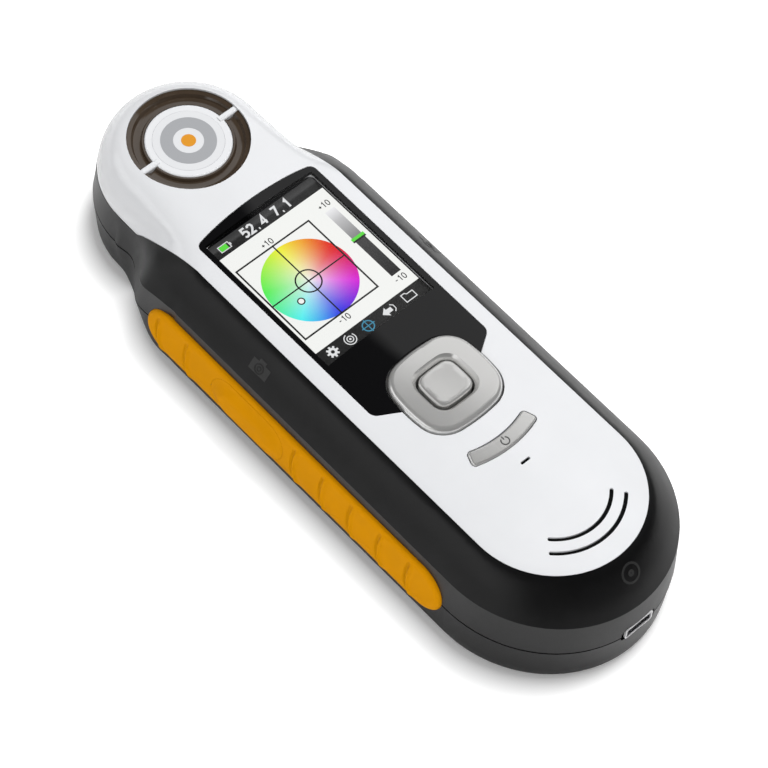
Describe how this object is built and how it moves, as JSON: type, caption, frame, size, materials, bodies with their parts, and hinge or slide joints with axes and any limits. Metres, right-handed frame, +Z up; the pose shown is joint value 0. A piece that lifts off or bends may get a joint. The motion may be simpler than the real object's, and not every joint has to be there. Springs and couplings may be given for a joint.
{
  "type": "handheld colour meter",
  "caption": "Handheld colour meter: round measuring head with a target ring, colour display, rocking pad, side grips with measure buttons, and a sliding white reference below.",
  "frame": {"origin": "on the table plane, below the middle of the instrument's overall length and width", "axes": "+Z up out of the display face, +Y along the length towards the measuring head, +X to the user's right"},
  "size_m": [0.0608, 0.1696, 0.0338],
  "materials": {
    "charcoal_shell": "fine-grained soft-touch black",
    "white_gloss": "high gloss white",
    "window_black": "clear hard coat over a printed black border",
    "smoked_ring": "clear dark brown",
    "badge_film": "white film with a printed grey ring and one orange dot",
    "orange_rubber": "matte moulded rubber",
    "satin_silver": "satin silver",
    "inner_plastic": "plain moulded",
    "silicone_mat": "soft translucent grey",
    "steel": "bright",
    "brass": "plain",
    "circuit_board": "green solder mask",
    "switch_body": "moulded black",
    "display_panel": "lit colour panel",
    "foam": "black open foam",
    "flex_cable": "amber film",
    "optic_glass": "coated and polished",
    "lamp_lens": "pale yellow",
    "slider_black": "fine texture",
    "reference_tile": "even matte white",
    "battery_wrap": "blue-grey shrink film",
    "black_rubber": "soft"
  },
  "bodies": {
    "housing": {"upper_shell": "charcoal_shell", "lower_shell": "charcoal_shell", "battery_cover": "charcoal_shell", "face_cover": "white_gloss", "screen_window": "window_black", "target_ring_window": "smoked_ring", "hub_badge": "badge_film", "grip_right": "orange_rubber", "grip_left": "orange_rubber", "side_switches": "switch_body", "keypad_frame": "inner_plastic", "keypad_mat": "silicone_mat", "key_domes": "steel", "key_board": "circuit_board", "board_spacers": "brass", "display_module": "display_panel", "display_bracket": "steel", "display_gasket": "foam", "display_flex": "flex_cable", "sensor_flex": "flex_cable", "main_board": "circuit_board", "board_parts": "switch_body", "board_screws": "steel", "usb_shell": "steel", "usb_tongue": "switch_body", "speaker": "switch_body", "speaker_mesh": "foam", "microphone": "steel", "sensor_board": "circuit_board", "image_sensor": "switch_body", "optics_barrel": "inner_plastic", "lenses": "optic_glass", "optics_mount": "inner_plastic", "led_board": "circuit_board", "leds": "lamp_lens", "light_cone": "white_gloss", "aperture_glass": "optic_glass", "battery_pack": "battery_wrap", "battery_contacts": "brass", "battery_cover_screw": "steel", "case_screws": "steel", "rubber_feet": "black_rubber"},
    "nav_gimbal": {"nav_gimbal": "inner_plastic"},
    "nav_ring": {"nav_ring": "satin_silver"},
    "select_button": {"select_button": "satin_silver"},
    "power_button": {"power_button": "satin_silver"},
    "measure_button_right": {"measure_button_right": "orange_rubber"},
    "measure_button_left": {"measure_button_left": "orange_rubber"},
    "calibration_slider": {"calibration_slider": "slider_black", "white_tile": "reference_tile"}
  },
  "joints": [
    {"name": "nav_tilt_up_down", "type": "hinge", "parent": "housing", "child": "nav_gimbal", "pos_m": [0, -0.02133, 0.0271], "axis": [1, 0, 0], "range_deg": [-2.5, 2.5]},
    {"name": "nav_tilt_left_right", "type": "hinge", "parent": "nav_gimbal", "child": "nav_ring", "pos_m": [0, -0.02133, 0.0285], "axis": [0, 1, 0], "range_deg": [-2.5, 2.5]},
    {"name": "select_press", "type": "slide", "parent": "housing", "child": "select_button", "axis": [0, 0, -1], "range_m": [0, 0.0006]},
    {"name": "power_press", "type": "slide", "parent": "housing", "child": "power_button", "axis": [0, 0, -1], "range_m": [0, 0.0005]},
    {"name": "measure_right_press", "type": "slide", "parent": "housing", "child": "measure_button_right", "axis": [-1, 0, 0], "range_m": [0, 0.0008]},
    {"name": "measure_left_press", "type": "slide", "parent": "housing", "child": "measure_button_left", "axis": [1, 0, 0], "range_m": [0, 0.0008]},
    {"name": "slider_open", "type": "slide", "parent": "housing", "child": "calibration_slider", "axis": [0, -1, 0], "range_m": [0, 0.016]}
  ]
}
